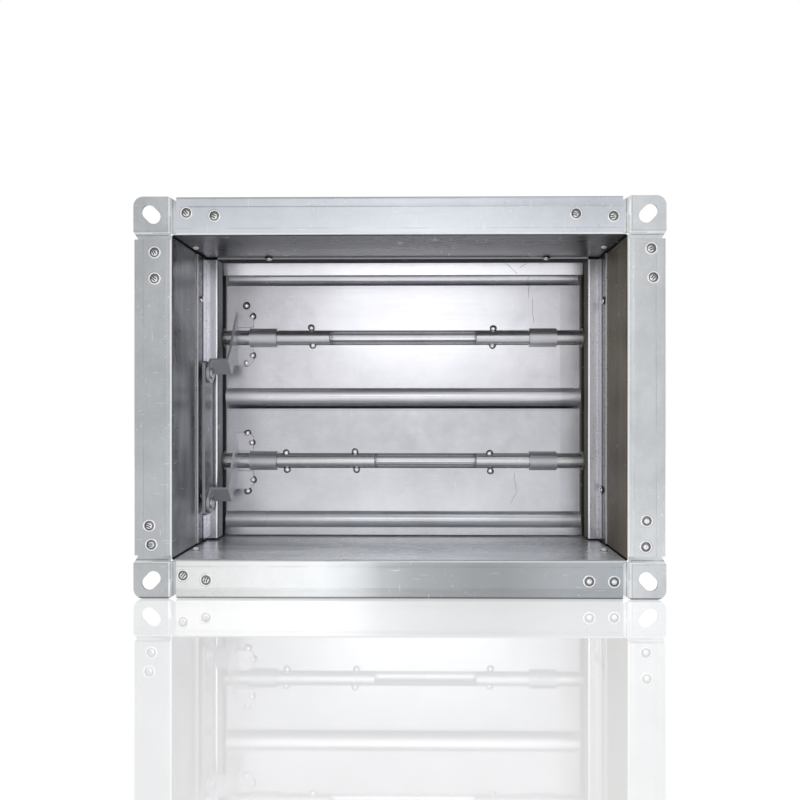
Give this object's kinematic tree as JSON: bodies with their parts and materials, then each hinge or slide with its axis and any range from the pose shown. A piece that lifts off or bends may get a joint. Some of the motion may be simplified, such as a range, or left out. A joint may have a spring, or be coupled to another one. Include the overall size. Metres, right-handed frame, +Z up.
{
  "type": "fire damper",
  "caption": "Flanged rectangular duct damper with opposed hinged blades on short shafts, joined by cranks and a link bar and turned by a drive shaft through the side.",
  "frame": {"origin": "middle of the duct, halfway between the two flange faces and in the plane of the blade shafts; also the centre of the bounding box", "axes": "+X across the duct to the viewer's right, +Y along the air path away from the viewer, +Z up"},
  "size_m": [0.41, 0.2, 0.31],
  "materials": {
    "casing_sheet": "galvanised, drawn sheet with faint streaks",
    "corner_plate": "galvanised pressing, slightly scuffed",
    "rivets": "bright pressed metal",
    "weld_metal": "heat-darkened nuggets",
    "jamb_sheet": "galvanised, bright",
    "stop_sheet": "galvanised, bright",
    "bush_bronze": "dull bearing bronze",
    "blade_sheet": "bright galvanised sheet, lightly scratched",
    "shaft_steel": "drawn bar, brushed",
    "crank_plate": "plated strip",
    "pin_steel": "plated, closed by pressing",
    "link_plate": "plated strip, scuffed edges"
  },
  "bodies": {
    "casing": {"casing_top": "casing_sheet", "casing_bottom": "casing_sheet", "casing_left": "casing_sheet", "casing_right": "casing_sheet", "corner_front_top_right": "corner_plate", "corner_rear_top_right": "corner_plate", "corner_front_bottom_right": "corner_plate", "corner_rear_bottom_right": "corner_plate", "corner_front_bottom_left": "corner_plate", "corner_rear_bottom_left": "corner_plate", "corner_front_top_left": "corner_plate", "corner_rear_top_left": "corner_plate", "jamb_channel_left": "jamb_sheet", "jamb_channel_right": "jamb_sheet", "blade_stop_top": "stop_sheet", "blade_stop_bottom": "stop_sheet", "shaft_bushes": "bush_bronze"},
    "upper_blade": {"blade_upper": "blade_sheet", "shaft_upper_left": "shaft_steel", "shaft_upper_right": "shaft_steel", "crank_upper": "crank_plate", "pivot_pin_upper": "pin_steel"},
    "lower_blade": {"blade_lower": "blade_sheet", "drive_shaft": "shaft_steel", "shaft_lower_right": "shaft_steel", "crank_lower": "crank_plate", "pivot_pin_lower": "pin_steel"},
    "link": {"link_bar": "link_plate"}
  },
  "joints": [
    {"name": "lower_blade_pivot", "type": "hinge", "parent": "casing", "child": "lower_blade", "pos_m": [0, 0, -0.056], "axis": [-1, 0, 0], "range_deg": [0, 90]},
    {"name": "upper_blade_pivot", "type": "hinge", "parent": "casing", "child": "upper_blade", "pos_m": [0, 0, 0.056], "axis": [-1, 0, 0], "range_deg": [0, 90]},
    {"name": "link_pivot", "type": "hinge", "parent": "lower_blade", "child": "link", "pos_m": [-0.1685, -0.03394, -0.08994], "axis": [-1, 0, 0], "range_deg": [-90, 0]}
  ],
  "couplings": [
    {"joint": "upper_blade_pivot", "follows": "lower_blade_pivot", "ratio": 1},
    {"joint": "link_pivot", "follows": "lower_blade_pivot", "ratio": -1}
  ]
}
